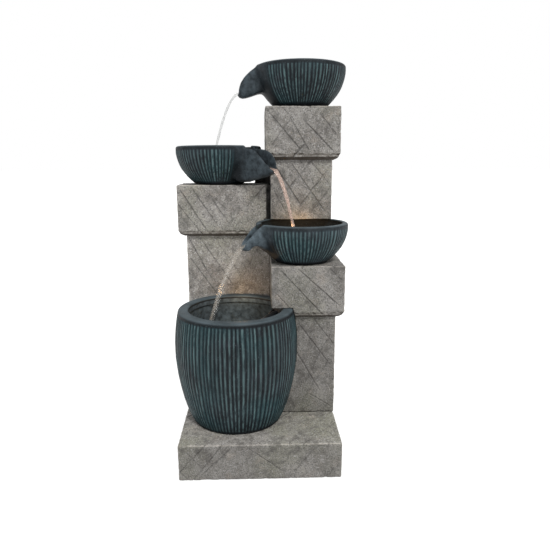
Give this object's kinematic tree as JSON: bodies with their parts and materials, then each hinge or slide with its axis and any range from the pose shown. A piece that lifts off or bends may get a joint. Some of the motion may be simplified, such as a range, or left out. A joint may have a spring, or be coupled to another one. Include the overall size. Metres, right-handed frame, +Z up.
{
  "type": "water fountain",
  "caption": "Tiered fountain with a ribbed pot, stacked stone blocks and ribbed bowls that spill from spout to spout",
  "frame": {"origin": "middle of the overall box in plan, at ground level", "axes": "+Z up, front faces -Y, +X to the right seen from the front"},
  "size_m": [0.381, 0.395, 0.825],
  "materials": {
    "cast_stone": "rough cast stone, warm grey with dry-brushed tan edges and carved crossing grooves",
    "ribbed_resin": "dark blue-charcoal cast resin with fine upright ribs, dry-brushed teal highlights, satin",
    "dark_rubber": "matt black rubber",
    "pump_plastic": "moulded black plastic, fine texture",
    "coil_potting": "dark epoxy potting",
    "steel_fixings": "stainless steel",
    "ceramic_shaft": "ground ceramic",
    "bush_rubber": "hard black rubber",
    "ferrite": "dark grey ferrite magnet",
    "pale_plastic": "natural moulded plastic",
    "dial_plastic": "light grey moulded plastic",
    "hose_rubber": "dark flexible vinyl hose",
    "lamp_plastic": "black moulded plastic",
    "lamp_board": "white circuit board with yellow light chips",
    "lamp_lens": "warm clear lens",
    "box_plastic": "grey moulded plastic",
    "lead_rubber": "black cable sheath"
  },
  "bodies": {
    "root": {"base_plinth": "cast_stone", "lower_left_column": "cast_stone", "left_cap_block": "cast_stone", "lower_right_column": "cast_stone", "right_mid_block": "cast_stone", "upper_right_column": "cast_stone", "top_cap_block": "cast_stone", "pot_basin": "ribbed_resin", "lower_bowl": "ribbed_resin", "middle_bowl": "ribbed_resin", "top_bowl": "ribbed_resin", "rubber_feet": "dark_rubber", "pump_housing": "pump_plastic", "pump_stator": "coil_potting", "pump_back_cover": "pump_plastic", "pump_volute": "pump_plastic", "pump_screws": "steel_fixings", "pump_shaft": "ceramic_shaft", "front_bush": "bush_rubber", "rear_bush": "bush_rubber", "suction_feet": "dark_rubber", "outlet_adapter": "pump_plastic", "hose_clamp": "steel_fixings", "supply_hose": "hose_rubber", "pot_grommet": "dark_rubber", "standpipe": "steel_fixings", "standpipe_seal": "dark_rubber", "standpipe_nut": "steel_fixings", "pot_light_housing": "lamp_plastic", "pot_light_board": "lamp_board", "pot_light_lens": "lamp_lens", "pot_light_sucker": "dark_rubber", "bowl_light_housing": "lamp_plastic", "bowl_light_board": "lamp_board", "bowl_light_lens": "lamp_lens", "bowl_grommet": "dark_rubber", "junction_box": "box_plastic", "junction_lid": "box_plastic", "junction_gasket": "dark_rubber", "junction_screws": "steel_fixings", "power_inlet": "pump_plastic", "inlet_nut": "pump_plastic", "inlet_seal": "dark_rubber", "pump_lead": "lead_rubber", "pot_light_lead": "lead_rubber", "bowl_light_lead": "lead_rubber", "inlet_lead": "lead_rubber"},
    "strainer": {"pump_strainer": "pump_plastic"},
    "dial": {"flow_dial": "dial_plastic"},
    "rotor": {"pump_impeller": "pale_plastic", "rotor_magnet": "ferrite"}
  },
  "joints": [
    {"name": "strainer_slide", "type": "slide", "parent": "root", "child": "strainer", "axis": [0, -1, 0], "range_m": [0, 0.028]},
    {"name": "flow_dial_turn", "type": "hinge", "parent": "strainer", "child": "dial", "pos_m": [-0.053, -0.102, 0.125], "axis": [0, -1, 0], "range_deg": [0, 90]},
    {"name": "rotor_spin", "type": "hinge", "parent": "root", "child": "rotor", "pos_m": [-0.053, -0.066, 0.125], "axis": [0, -1, 0], "continuous": true}
  ]
}
